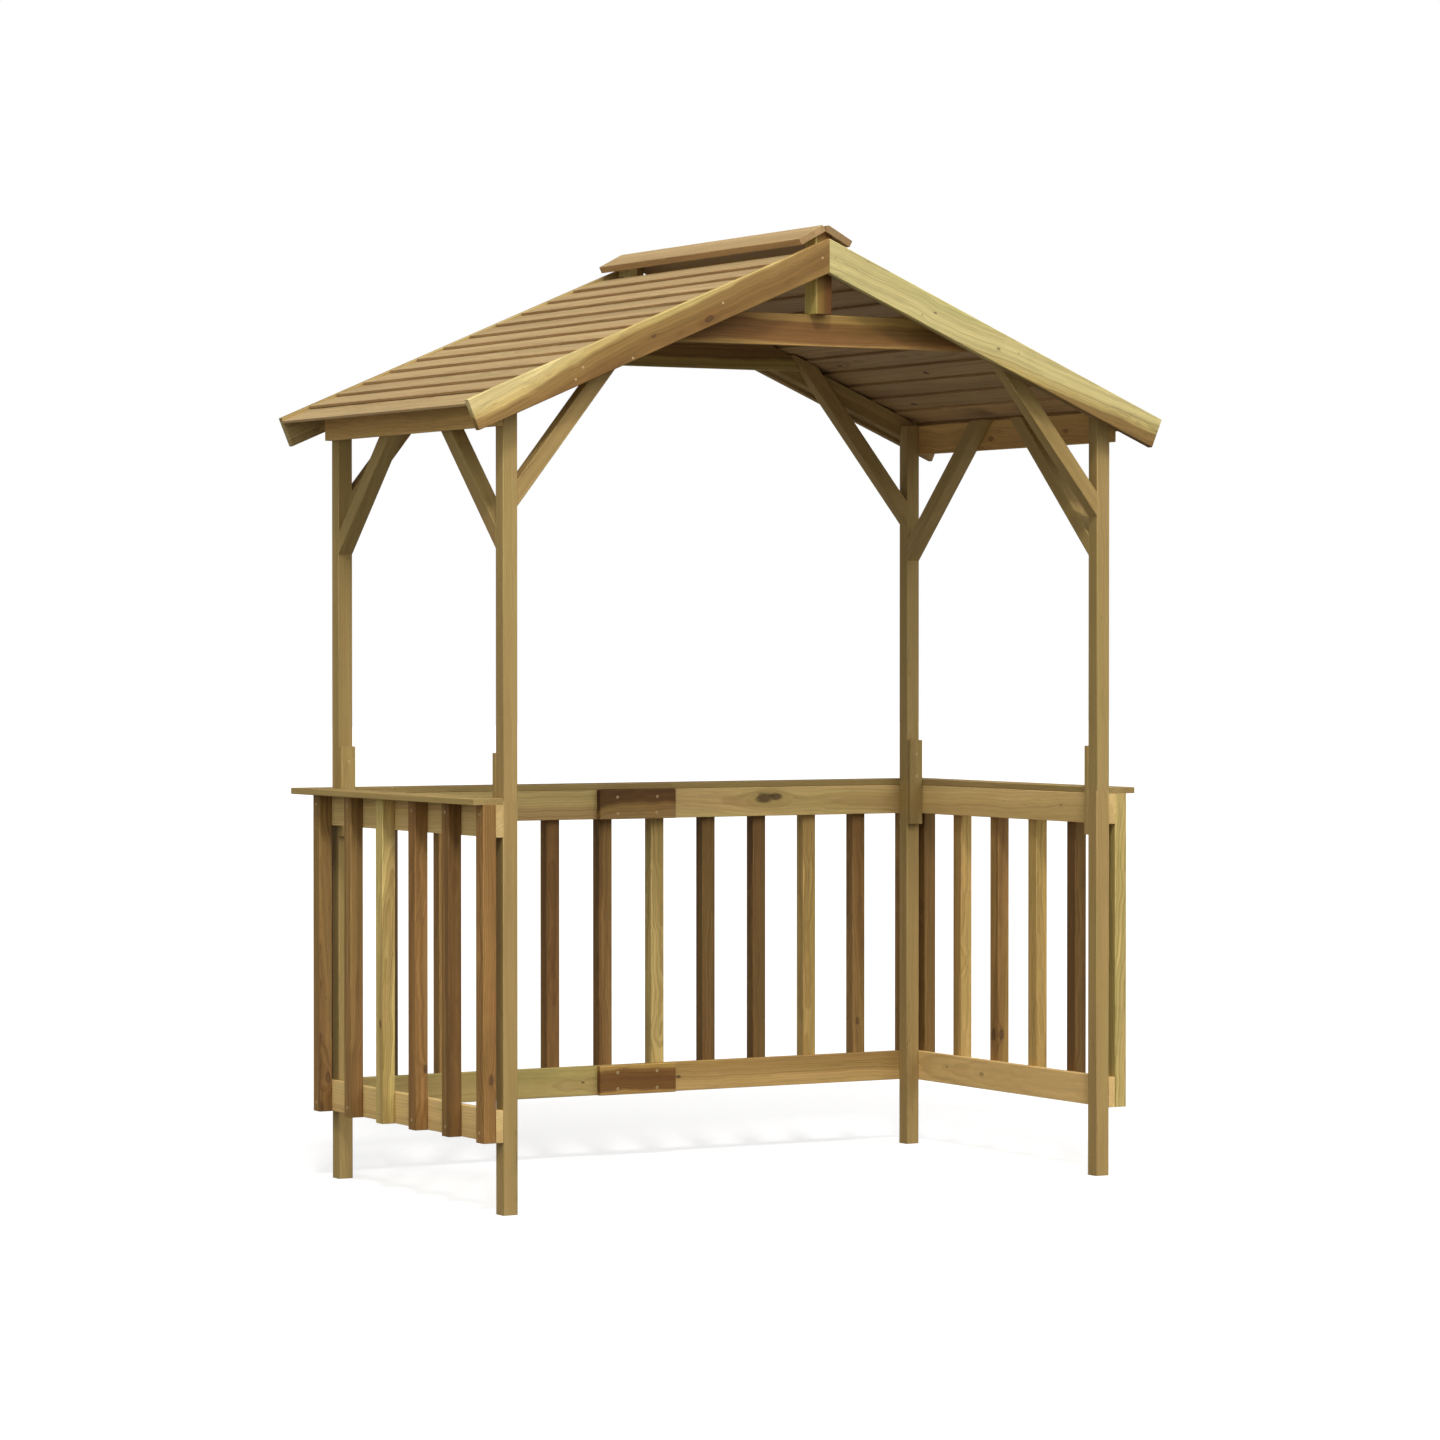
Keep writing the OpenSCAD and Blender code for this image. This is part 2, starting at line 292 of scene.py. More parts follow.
class Wiring:
    """Adds nodes to a tree and links them."""

    def __init__(self, tree):
        self.tree = tree
        self.count = 0

    def node(self, kind, **settings):
        made = self.tree.nodes.new(kind)
        made.location = (220 * (self.count // 5), -170 * (self.count % 5))
        self.count += 1
        for name, value in settings.items():
            setattr(made, name, value)
        return made

    def feed(self, socket, value):
        """Links a socket, or sets the input's own value."""
        if isinstance(value, bpy.types.NodeSocket):
            self.tree.links.new(value, socket)
        elif value is not None:
            socket.default_value = value

    def math(self, operation, *values, clamp=False):
        made = self.node("ShaderNodeMath", operation=operation, use_clamp=clamp)
        for socket, value in zip(made.inputs, values):
            self.feed(socket, value)
        return made.outputs[0]

    def plus(self, first, second, clamp=False):
        return self.math("ADD", first, second, clamp=clamp)

    def minus(self, first, second):
        return self.math("SUBTRACT", first, second)

    def times(self, first, second):
        return self.math("MULTIPLY", first, second)

    def vector(self, operation, *values):
        made = self.node("ShaderNodeVectorMath", operation=operation)
        for socket, value in zip(made.inputs, values):
            self.feed(socket, value)
        return made.outputs["Value" if operation in ("LENGTH", "DOT_PRODUCT") else "Vector"]

    def split(self, vector):
        made = self.node("ShaderNodeSeparateXYZ")
        self.feed(made.inputs[0], vector)
        return made.outputs

    def join(self, x, y, z):
        made = self.node("ShaderNodeCombineXYZ")
        for socket, value in zip(made.inputs, (x, y, z)):
            self.feed(socket, value)
        return made.outputs[0]

    def use(self, tree, inputs):
        """Adds a node group, feeds its inputs by name and returns its outputs."""
        made = self.node("ShaderNodeGroup", node_tree=tree)
        for name, value in inputs.items():
            self.feed(made.inputs[name], value)
        return made.outputs

    def noise(self, vector, stretch, detail=2.0, roughness=0.5):
        """Noise over a vector that is first scaled along each of its axes."""
        made = self.node("ShaderNodeTexNoise")
        self.feed(made.inputs["Vector"], self.vector("MULTIPLY", vector, stretch))
        made.inputs["Scale"].default_value = 1
        made.inputs["Detail"].default_value = detail
        made.inputs["Roughness"].default_value = roughness
        return made.outputs

    def step(self, value, low, high, reach=(0, 1)):
        """Smooth step from reach[0] to reach[1] as value goes from low to high."""
        made = self.node("ShaderNodeMapRange", interpolation_type="SMOOTHSTEP")
        for name, given in zip(
            ("Value", "From Min", "From Max", "To Min", "To Max"), (value, low, high, *reach)
        ):
            self.feed(made.inputs[name], given)
        return made.outputs[0]

    def mix(self, factor, first, second, blend="MIX"):
        made = self.node("ShaderNodeMix", data_type="RGBA", blend_type=blend)
        for number, value in ((MIX_FACTOR, factor), (MIX_FIRST, first), (MIX_SECOND, second)):
            if isinstance(value, tuple) and len(value) == 3:
                value = (*value, 1)
            self.feed(made.inputs[number], value)
        return made.outputs[MIX_RESULT]


def group(name, inputs, outputs, fill):
    """A shader node group, built once. fill wires it and returns its outputs by name."""
    if name in bpy.data.node_groups:
        return bpy.data.node_groups[name]
    tree = bpy.data.node_groups.new(name, "ShaderNodeTree")
    for label, kind, value in inputs:
        socket = tree.interface.new_socket(label, in_out="INPUT", socket_type=kind)
        if value is not None:
            socket.default_value = value
    for label in outputs:
        tree.interface.new_socket(label, in_out="OUTPUT", socket_type="NodeSocketFloat")
    wires = Wiring(tree)
    given = wires.node("NodeGroupInput").outputs
    results = fill(wires, given)
    result = wires.node("NodeGroupOutput")
    for label in outputs:
        wires.feed(result.inputs[label], results[label])
    return tree


def branch_knot(wires, given):
    """A branch that crosses the board at (along, aside). A negative radius crosses edgewise."""
    x, y, z = wires.split(given["Grain"])
    start, aside, signed = wires.split(given["Knot"])
    edgewise = wires.math("LESS_THAN", signed, 0)
    radius = wires.plus(wires.math("ABSOLUTE", signed), 0.00001)
    lateral = wires.plus(y, wires.times(edgewise, wires.minus(z, y)))
    lateral = wires.minus(lateral, aside)
    # A knot is twice as long as it is wide, with a ragged outline.
    along = wires.times(wires.minus(x, start), 0.5)
    ragged = wires.noise(given["Grain"], (70, 130, 130), detail=1)["Fac"]
    ragged = wires.times(wires.minus(ragged, 0.5), 0.9)
    share = wires.math("DIVIDE", wires.vector("LENGTH", wires.join(along, lateral, 0)), radius)
    rough_share = wires.plus(share, ragged)
    rim = wires.minus(wires.step(rough_share, 0.55, 1.0), wires.step(rough_share, 1.0, 1.7))
    # The rings part round it, less and less further away.
    swirl = wires.math("POWER", wires.times(share, 0.36), 2)
    swirl = wires.math("EXPONENT", wires.times(swirl, -1))
    return {
        "Knot": wires.step(rough_share, 1.25, 0.6),
        "Rim": rim,
        "Push": wires.times(swirl, wires.times(radius, 1.7)),
    }


def timber_grain(wires, given):
    """Growth rings round a wandering pith, the fibre along them, and the knots in them."""
    grain = given["Grain"]
    x = wires.split(grain)[0]
    seeded = wires.join(x, given["Seed"], 0)
    # The pith wanders slowly and wavers quickly.
    half = (0.5, 0.5, 0.5)
    wander = wires.noise(seeded, (1.4, 1, 1), detail=1)["Color"]
    wander = wires.vector("MULTIPLY", wires.vector("SUBTRACT", wander, half), (0, 0.03, 0.03))
    waver = wires.noise(seeded, (9, 1, 1), detail=2)["Color"]
    waver = wires.vector("MULTIPLY", wires.vector("SUBTRACT", waver, half), (0, 0.012, 0.012))
    wavy = wires.join(0, given["Waviness"], given["Waviness"])
    wander = wires.vector("MULTIPLY", wires.vector("ADD", wander, waver), wavy)
    bent = wires.vector("ADD", grain, wander)
    y, z = wires.split(bent)[1:]
    radius = wires.vector("LENGTH", wires.join(0, y, z))
    uneven = wires.noise(bent, (3.5, 26, 26), detail=2)["Fac"]
    radius = wires.plus(radius, wires.times(uneven, 0.006))
    knot_tree = group(
        "Branch knot",
        (("Grain", "NodeSocketVector", None), ("Knot", "NodeSocketVector", None)),
        ("Knot", "Rim", "Push"),
        branch_knot,
    )
    knot, rim, pushed = 0.0, 0.0, radius
    for number in range(KNOTS_PER_BOARD):
        made = wires.use(knot_tree, {"Grain": grain, "Knot": given[f"Knot {number + 1}"]})
        knot = wires.math("MAXIMUM", knot, made["Knot"])
        rim = wires.math("MAXIMUM", rim, made["Rim"])
        pushed = wires.minus(pushed, made["Push"])
    swell = wires.math("DIVIDE", pushed, wires.plus(radius, 0.001))
    flowing = wires.vector("MULTIPLY", bent, wires.join(1, swell, swell))
    # Rings are counted from the pith. Late wood is the outer part of each, and some have more.
    count = wires.math("DIVIDE", pushed, given["Ring"])
    uneven_rings = wires.noise(wires.join(count, given["Seed"], 0), (0.45, 1, 1), detail=1)["Fac"]
    count = wires.plus(count, wires.times(uneven_rings, 1.6))
    part = wires.math("FRACT", count)
    late = wires.times(wires.step(part, 0.25, 0.9), wires.step(part, 1.0, 0.93))
    ring_number = wires.join(wires.math("FLOOR", count), given["Seed"], 0)
    contrast = wires.noise(ring_number, (1.7, 1, 1), detail=0)["Fac"]
    late = wires.times(late, wires.step(contrast, 0.25, 0.7, (0.35, 1)))
    # Fibre, streaks and patches run along the grain. A crack is thin, and only here and there.
    fibre = wires.noise(flowing, (9, 950, 950), detail=3, roughness=0.65)["Fac"]
    streak = wires.noise(flowing, (1.3, 105, 105), detail=3, roughness=0.6)["Fac"]
    patch = wires.noise(flowing, (1.6, 16, 16), detail=2)["Fac"]
    crack = wires.noise(flowing, (1.1, 210, 210), detail=1)["Fac"]
    crack = wires.step(wires.math("ABSOLUTE", wires.minus(crack, 0.5)), 0.006, 0.0015)
    cracked = wires.noise(flowing, (2.6, 30, 30), detail=0)["Fac"]
    crack = wires.times(crack, wires.step(cracked, 0.62, 0.68))
    ragged = wires.plus(pushed, wires.times(wires.minus(patch, 0.5), 0.02))
    sap = wires.step(ragged, given["Sap"], wires.plus(given["Sap"], 0.009))
    depth = wires.minus(pushed, given["Sap"])
    height = wires.times(late, 0.45)
    height = wires.plus(height, wires.times(fibre, 0.55))
    height = wires.minus(height, wires.times(rim, 0.8))
    height = wires.minus(height, wires.times(crack, 2.5))
    return {
        "Late wood": late,
        "Fibre": fibre,
        "Streak": streak,
        "Patch": patch,
        "Sapwood": sap,
        "Core": wires.step(depth, 0.0, -0.035),
        "Pale": wires.step(depth, 0.008, 0.036),
        "Knot": knot,
        "Rim": rim,
        "Crack": crack,
        "Height": height,
    }


def surface_wear_and_highlight(wires, given):
    """Wear with painted highlight on the arrises, rough fibre on the sawn ends and faint smudges in
    patches.
    """
    end, arris, _ = wires.split(given["Surface"])
    grit = wires.noise(given["Grain"], (55, 420, 420), detail=3, roughness=0.7)["Fac"]
    smudge = wires.noise(given["Grain"], (4, 22, 22), detail=3)["Fac"]
    return {
        # Arrises are lightened in patches: partly wear, partly painted highlight
        "Wear and highlight": wires.times(arris, wires.step(grit, 0.3, 0.62)),
        "Sawn end": wires.times(end, wires.step(grit, 0.2, 0.7, (0.7, 1))),
        "Smudge": wires.step(smudge, 0.42, 0.75),
    }


def grain_group():
    inputs = [("Grain", "NodeSocketVector", None), ("Seed", "NodeSocketFloat", 0.0)]
    inputs += [("Ring", "NodeSocketFloat", 0.006), ("Sap", "NodeSocketFloat", 0.07)]
    inputs += [("Waviness", "NodeSocketFloat", 1.0)]
    inputs += [(f"Knot {n + 1}", "NodeSocketVector", None) for n in range(KNOTS_PER_BOARD)]
    outputs = ("Late wood", "Fibre", "Streak", "Patch", "Core", "Sapwood", "Pale")
    outputs += ("Knot", "Rim", "Crack", "Height")
    return group("Timber grain", inputs, outputs, timber_grain)


def wear_and_highlight_group():
    return group(
        "Surface wear and highlight",
        (("Grain", "NodeSocketVector", None), ("Surface", "NodeSocketVector", None)),
        ("Wear and highlight", "Sawn end", "Smudge"),
        surface_wear_and_highlight,
    )


def attribute(wires, name):
    return wires.node("ShaderNodeAttribute", attribute_name=name).outputs["Vector"]


# A slot's usual stain, how strongly its timbers show their darker heart, their paler sapwood,
# their rings, streaks and green cast, how wavy the grain is, how dark the knots are, and how far
# apart they are where they are drawn at random (None for no such knots)
Finish = namedtuple("Finish", "stain heart pale late streak olive wavy knot knot_gap")

FINISHES = {
    "post": Finish("olive", 0.25, 0.0, 0.25, 0.35, 0.3, 1.0, 0.8, None),
    "king_post": Finish("olive", 3.2, 1.8, 0.5, 0.6, 0.8, 0.3, 0.8, None),
    "splice_plate": Finish("olive", 0.25, 0.0, 0.25, 0.35, 0.3, 1.0, 0.8, None),
    "side_rail": Finish("honey", 0.4, 0.2, 0.4, 0.4, 0.25, 1.0, 0.4, 0.7),
    "rear_rail": Finish("honey", 0.6, 0.2, 0.5, 0.8, 0.6, 1.2, 0.85, 0.7),
    "joint_plate": Finish("umber", 2.6, 1.6, 0.5, 0.8, 0.9, 2.6, 0.8, None),
    "picket": Finish("russet", 0.9, 0.2, 0.7, 1.1, 0.5, 1.6, 0.7, 0.9),
    "side_shelf": Finish("olive", 0.3, 0.0, 0.3, 0.4, 0.3, 1.0, 0.5, 0.8),
    "rear_shelf": Finish("olive", 0.3, 0.0, 0.3, 0.4, 0.3, 1.0, 0.5, 0.8),
    "eaves_beam": Finish("tan", 0.5, 0.2, 0.4, 0.6, 0.5, 1.2, 0.5, 0.6),
    "rafter": Finish("tan", 0.6, 0.2, 0.5, 0.6, 0.4, 1.0, 0.8, 0.8),
    "barge_board": Finish("honey", 2.3, 1.7, 0.4, 1.1, 0.3, 1.6, 0.6, 0.6),
    "collar_tie": Finish("umber", 2.1, 1.5, 0.5, 1.4, 0.9, 0.9, 0.8, 0.8),
    "gable_brace": Finish("olive", 0.3, 0.0, 0.3, 0.5, 0.3, 1.0, 0.8, None),
    "side_brace": Finish("olive", 0.3, 0.0, 0.3, 0.5, 0.3, 1.0, 0.8, None),
    "roof_board": Finish("bleached", 0.3, 0.0, 0.5, 0.7, 0.15, 1.0, 1.0, None),
    "ridge_board": Finish("bleached", 0.3, 0.0, 0.4, 0.5, 0.15, 1.0, 0.8, None),
}


def tinted(amount, red, green, blue):
    """A tint that departs from white by the given amount."""
    return tuple(1 + amount * (c - 1) for c in (red, green, blue))


def blank_material(name):
    """A new material, the wiring of its nodes, and its shader."""
    material = bpy.data.materials.new(name)
    material.use_nodes = True
    return material, Wiring(material.node_tree), material.node_tree.nodes["Principled BSDF"]


def timber_material(slot):
    """Treated softwood for one slot. Stain, grain and knots come from each board's attributes."""
    name = f"timber_{slot}"
    if name in bpy.data.materials:
        return bpy.data.materials[name]
    finish = FINISHES[slot]
    shades = bpy.context.scene.shelter_colours
    sizes = bpy.context.scene.shelter_timber
    material, wires, shader = blank_material(name)
    grain, stain, heart, surface = (
        attribute(wires, name) for name in ("grain", "stain", "heart", "surface")
    )
    seed, sap, _ = wires.split(heart)
    # The third part of surface marks the faces that get painted shade
    painted_shade = wires.split(surface)[2]
    inputs = {"Grain": grain, "Seed": seed, "Ring": sizes.ring, "Sap": sap}
    inputs["Waviness"] = finish.wavy
    for number in range(KNOTS_PER_BOARD):
        inputs[f"Knot {number + 1}"] = attribute(wires, f"knot_{number + 1}")
    wood = wires.use(grain_group(), inputs)
    wear_and_highlight = wires.use(wear_and_highlight_group(), {"Grain": grain, "Surface": surface})

    def over(base, factor, tint):
        return wires.mix(factor, base, wires.mix(1.0, base, tint, blend="MULTIPLY"))

    # Tints of the stain, from the heart outwards, then light and dark, knots, cracks, wear with
    # painted highlight on the arrises, and painted shade on the roof boards' downward faces
    heart_tint = tinted(finish.heart, 0.87, 0.83, 0.78)
    sap_tint = tinted(finish.heart, 1.16, 1.2, 1.19)
    base = wires.mix(1.0, stain, wires.mix(wood["Sapwood"], heart_tint, sap_tint), blend="MULTIPLY")
    base = over(base, wood["Core"], tinted(finish.heart, 0.83, 0.78, 0.73))
    base = over(base, wood["Pale"], tinted(finish.pale, 1.1, 1.18, 1.36))
    cast = wires.step(wood["Patch"], 0.4, 0.65)
    base = over(base, cast, tinted(finish.olive, 0.86, 0.97, 0.78))
    base = over(base, wood["Late wood"], tinted(finish.late, 0.66, 0.58, 0.48))
    light = wires.times(wires.minus(wood["Streak"], 0.5), finish.streak)
    fibre = wires.times(wires.minus(wood["Fibre"], 0.5), 0.35)
    light = wires.plus(wires.plus(light, fibre), 1.04)
    base = wires.mix(1.0, base, wires.join(light, light, light), blend="MULTIPLY")
    base = wires.mix(wires.times(wood["Knot"], finish.knot), base, tuple(shades.knot))
    rim = wires.times(wood["Rim"], 0.75 * finish.knot)
    base = wires.mix(rim, base, tuple(shades.rim))
    base = wires.mix(wires.times(wood["Crack"], 0.7), base, tuple(shades.rim))
    base = over(base, wear_and_highlight["Smudge"], (0.93, 0.92, 0.9))
    # Wear and painted highlight: the arrises are lightened in patches
    base = over(base, wear_and_highlight["Wear and highlight"], (1.16, 1.17, 1.2))
    base = over(base, wear_and_highlight["Sawn end"], (0.88, 0.88, 0.91))
    # Painted shade: the roof and ridge boards' faces that don't face up are darkened and warmed
    base = over(base, painted_shade, (0.92, 0.85, 0.8))
    wires.feed(shader.inputs["Base Color"], base)

    rough = wires.plus(0.6, wires.times(wood["Fibre"], 0.16))
    rough = wires.plus(rough, wires.times(wear_and_highlight["Sawn end"], 0.15))
    rough = wires.minus(rough, wires.times(wood["Knot"], 0.16))
    rough = wires.plus(rough, wires.times(wear_and_highlight["Smudge"], 0.06), clamp=True)
    wires.feed(shader.inputs["Roughness"], rough)
    shader.inputs["Specular IOR Level"].default_value = 0.3
    bump = wires.node("ShaderNodeBump")
    bump.inputs["Strength"].default_value = 0.5
    bump.inputs["Distance"].default_value = 0.0006
    wires.feed(bump.inputs["Height"], wood["Height"])
    wires.feed(shader.inputs["Normal"], bump.outputs[0])
    return material


def plated_material(kind):
    """Zinc plating, a little scuffed: yellow and shiny on screws, duller on nails."""
    name = f"zinc_{kind}"
    if name in bpy.data.materials:
        return bpy.data.materials[name]
    material, wires, shader = blank_material(name)
    place = wires.node("ShaderNodeTexCoord").outputs["Object"]
    scuff = wires.noise(place, (900, 900, 900), detail=3)["Fac"]
    colours = bpy.context.scene.shelter_colours
    shade = tuple(colours.plating if kind == "screws" else colours.nail)
    dull = tuple(0.6 * c for c in shade)
    wires.feed(shader.inputs["Base Color"], wires.mix(wires.step(scuff, 0.45, 0.75), shade, dull))
    shine = (0.28, 0.5) if kind == "screws" else (0.45, 0.7)
    wires.feed(shader.inputs["Roughness"], wires.step(scuff, 0.3, 0.7, shine))
    shader.inputs["Metallic"].default_value = 0.55 if kind == "screws" else 0.25
    return material


# ---------------- boards


def put(name, data):
    """Puts an object of the given data in the scene."""
    made = bpy.data.objects.new(name, data)
    bpy.context.scene.collection.objects.link(made)
    return made


def islands(bm):
    """The closed boards in a mesh, as lists of vertices, in order of their middles' x, y and z."""
    left, found = set(bm.verts), []
    while left:
        stack = [left.pop()]
        island = []
        while stack:
            vert = stack.pop()
            island.append(vert)
            for edge in vert.link_edges:
                other = edge.other_vert(vert)
                if other in left:
                    left.remove(other)
                    stack.append(other)
        found.append(island)

    def place(island):
        middle = sum((vert.co for vert in island), Vector()) / len(island)
        return tuple(round(c, 2) for c in middle)

    return sorted(found, key=place)


def forward(direction):
    """The direction or its opposite, whichever points along its main axis."""
    main = max(direction, key=abs)
    return direction.normalized() if main > 0 else -direction.normalized()


class Board:
    """One board's own axes and size: along the grain, across its width, through it."""

    def __init__(self, island):
        edges = {edge for vert in island for edge in vert.link_edges}
        longest = max(edges, key=lambda edge: edge.calc_length())
        self.along = forward(longest.verts[1].co - longest.verts[0].co)
        faces = {face for vert in island for face in vert.link_faces}
        sides = [face for face in faces if abs(face.normal.dot(self.along)) < SQUARE]
        # A square post has no wide face, so the one to the front or rear counts as wide.
        wide = max(sides, key=lambda face: face.calc_area() * (1 + 0.05 * abs(face.normal.y)))
        self.through = forward(wide.normal)
        self.across = forward(self.through.cross(self.along))
        axes = (self.along, self.across, self.through)
        spans = [[vert.co.dot(axis) for vert in island] for axis in axes]
        self.low = Vector([min(span) for span in spans])
        self.high = Vector([max(span) for span in spans])
        self.size = self.high - self.low

    def local(self, point):
        """Distance along from the board's start, and across and through from its middle."""
        middle = (self.low + self.high) / 2
        return Vector((
            point.dot(self.along) - self.low.x,
            point.dot(self.across) - middle.y,
            point.dot(self.through) - middle.z,
        ))

    def at(self, along, across, through):
        middle = (self.low + self.high) / 2
        return (
            self.along * (self.low.x + along)
            + self.across * (middle.y + across)
            + self.through * (middle.z + through)
        )


def drawn_look(rng, board, look, knot_gap):
    """Fills in what a look leaves open."""
    away = rng.uniform(0.4, 1.6) * board.size.y + 0.012
    turn = rng.uniform(0, 2 * math.pi)
    pith = (away * math.cos(turn), away * math.sin(turn))
    drift = (rng.uniform(-0.02, 0.02), rng.uniform(-0.02, 0.02))
    knots = []
    place = rng.uniform(0.1, 1.0) * (knot_gap or board.size.x)
    while knot_gap and len(knots) < KNOTS_PER_BOARD and place < board.size.x - KNOT_MARGIN:
        radius = rng.uniform(0.05, 0.11) * board.size.y
        knots.append((place, rng.uniform(-0.4, 0.4) * board.size.y, board.size.z / 2, radius))
        place += rng.uniform(0.5, 1.5) * knot_gap
    shade = rng.uniform(0.97, 1.03)
    sap = math.hypot(*pith) + rng.uniform(-0.02, 0.02)
    return look._replace(
        tone=look.tone * (shade if look.knots is None else 1),
        pith=look.pith or pith,
        sap=look.sap or (math.hypot(*look.pith) if look.pith else sap),
        drift=look.drift or drift,
        knots=tuple(knots) if look.knots is None else look.knots,
    )


def pith_at(look, share):
    """Where the pith is at a share of the board's length."""
    return [near + share * drift for near, drift in zip(look.pith, look.drift)]


def branch(knot, board, pith, start):
    """A knot as the shader reads it: its place along and aside, and its signed radius."""
    along, across, through, radius = knot
    if abs(through) / board.size.z >= abs(across) / board.size.y:
        return (along + start, across - pith[0], radius)
    return (along + start, through - pith[1], -radius)


def ease(bm, edges, offset, segments):
    """Rounds edges off, or chamfers them where there is one segment."""
    bmesh.ops.bevel(
        bm, geom=edges, offset=offset, segments=segments, profile=0.5, affect="EDGES",
        clamp_overlap=True,
    )


def timber(node, slot, arris=None):
    """Rebuilds a CAD node's boards with eased arrises and their own grain. Returns the boards."""
    sizes = bpy.context.scene.shelter_timber
    arris = sizes.arris if arris is None else arris
    bm = bmesh.new()
    bm.from_mesh(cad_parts[node].data)
    bmesh.ops.remove_doubles(bm, verts=bm.verts, dist=MERGE_DISTANCE)
    bmesh.ops.dissolve_limit(bm, angle_limit=FLAT_ANGLE, verts=bm.verts, edges=bm.edges)
    bmesh.ops.recalc_face_normals(bm, faces=bm.faces)

    lengthwise = []
    for island in islands(bm):
        board = Board(island)
        for edge in {edge for vert in island for edge in vert.link_edges}:
            direction = (edge.verts[1].co - edge.verts[0].co).normalized()
            if abs(direction.dot(board.along)) > PARALLEL:
                lengthwise.append(edge)
    ease(bm, lengthwise, arris, ARRIS_SEGMENTS)
    ends = set()
    for island in islands(bm):
        board = Board(island)
        for face in {face for vert in island for face in vert.link_faces}:
            if abs(face.normal.dot(board.along)) > ENDWISE:
                ends.update(face.edges)
    ease(bm, list(ends), sizes.end_ease, 1)

    grain = bm.verts.layers.float_vector.new("grain")
    stain = bm.verts.layers.float_vector.new("stain")
    heart = bm.verts.layers.float_vector.new("heart")
    # Each face's surface says whether it is an end, an arris, and a face that gets painted shade
    surface = bm.faces.layers.float_vector.new("surface")
    knots = [
        bm.verts.layers.float_vector.new(f"knot_{number + 1}")
        for number in range(KNOTS_PER_BOARD)
    ]
    rng = random.Random(node)
    boards = []
    own_looks = LOOKS.get(node, ())
    for number, island in enumerate(islands(bm)):
        board = Board(island)
        boards.append(board)
        own = own_looks[number] if number < len(own_looks) else Look(FINISHES[slot].stain)
        look = drawn_look(rng, board, own, FINISHES[slot].knot_gap)
        stains = bpy.context.scene.shelter_colours
        shade = [c * look.tone**DISPLAY_GAMMA for c in getattr(stains, look.stain)]
        start = rng.uniform(0, 30)
        branches = [
            branch(knot, board, pith_at(look, knot[0] / board.size.x), start)
            for knot in look.knots
        ]
        branches += [NO_KNOT] * (KNOTS_PER_BOARD - len(branches))
        for vert in island:
            along, across, through = board.local(vert.co)
            pith = pith_at(look, along / board.size.x)
            vert[grain] = (along + start, across - pith[0], through - pith[1])
            vert[stain] = shade
            vert[heart] = (number + start, look.sap, 0)
            for layer, place in zip(knots, branches):
                vert[layer] = place
        for face in {face for vert in island for face in vert.link_faces}:
            flat = max(abs(face.normal.dot(axis)) for axis in (board.across, board.through))
            endwise = abs(face.normal.dot(board.along))
            narrow = face.calc_area() < 0.3 * board.size.y * board.size.z
            is_end = endwise > ENDWISE and not narrow
            is_arris = not is_end and (flat < PARALLEL or endwise > SQUARE)
            # Roof and ridge board faces that don't face up get painted shade
            is_painted_shade = slot in ("roof_board", "ridge_board") and face.normal.z < 0.5
            face[surface] = (float(is_end), float(is_arris), float(is_painted_shade))
            face.smooth = is_arris
    mesh = bpy.data.meshes.new(f"timber_{node}")
    bm.to_mesh(mesh)
    bm.free()
    piece = put(f"timber_{node}", mesh)
    mesh.materials.append(timber_material(slot))
    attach(piece, BODY)
    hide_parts(node)
    return boards


# ---------------- operators


# Every dressed node's boards, so that the fixings know where they go
BOARDS = {}


def dress(names, slot, **options):
    for name in names:
        BOARDS[name] = timber(name, slot, **options)


class ShelterOperator(bpy.types.Operator):
    """Shared by all of the shelter's operators"""

    bl_options = {"REGISTER", "UNDO"}


class SHELTER_OT_posts(ShelterOperator):
    """Dress the four posts, each in two lengths"""

    bl_idname = "shelter.posts"
    bl_label = "Posts"

    def execute(self, context):
        for end in ENDS:
            for side in SIDES:
                dress([f"post_{end}_{side}_{part}" for part in ("lower", "upper")], "post")
        return {"FINISHED"}


class SHELTER_OT_plates(ShelterOperator):
    """Dress the plates that splice the posts and the rear rails"""

    bl_idname = "shelter.plates"
    bl_label = "Joint plates"

    def execute(self, context):
        dress([f"splice_plates_{end}" for end in ENDS], "splice_plate")
        dress(["rail_joint_plates"], "joint_plate")
        return {"FINISHED"}


class SHELTER_OT_rails(ShelterOperator):
    """Dress the bottom and top rails of the three low sides"""

    bl_idname = "shelter.rails"
    bl_label = "Rails"

    def execute(self, context):
        for side in SIDES:
            dress([f"{side}_{level}_rail" for level in ("bottom", "top")], "side_rail")
        dress([f"rear_{level}_rail" for level in ("bottom", "top")], "rear_rail")
        return {"FINISHED"}


class SHELTER_OT_pickets(ShelterOperator):
    """Dress the pickets of the three low sides"""

    bl_idname = "shelter.pickets"
    bl_label = "Pickets"

    def execute(self, context):
        dress([f"{side}_pickets" for side in (*SIDES, "rear")], "picket")
        return {"FINISHED"}


class SHELTER_OT_shelves(ShelterOperator):
    """Dress the shelf boards on the three low sides"""

    bl_idname = "shelter.shelves"
    bl_label = "Shelves"

    def execute(self, context):
        dress([f"{side}_shelf" for side in SIDES], "side_shelf")
        dress(["rear_shelf"], "rear_shelf")
        return {"FINISHED"}


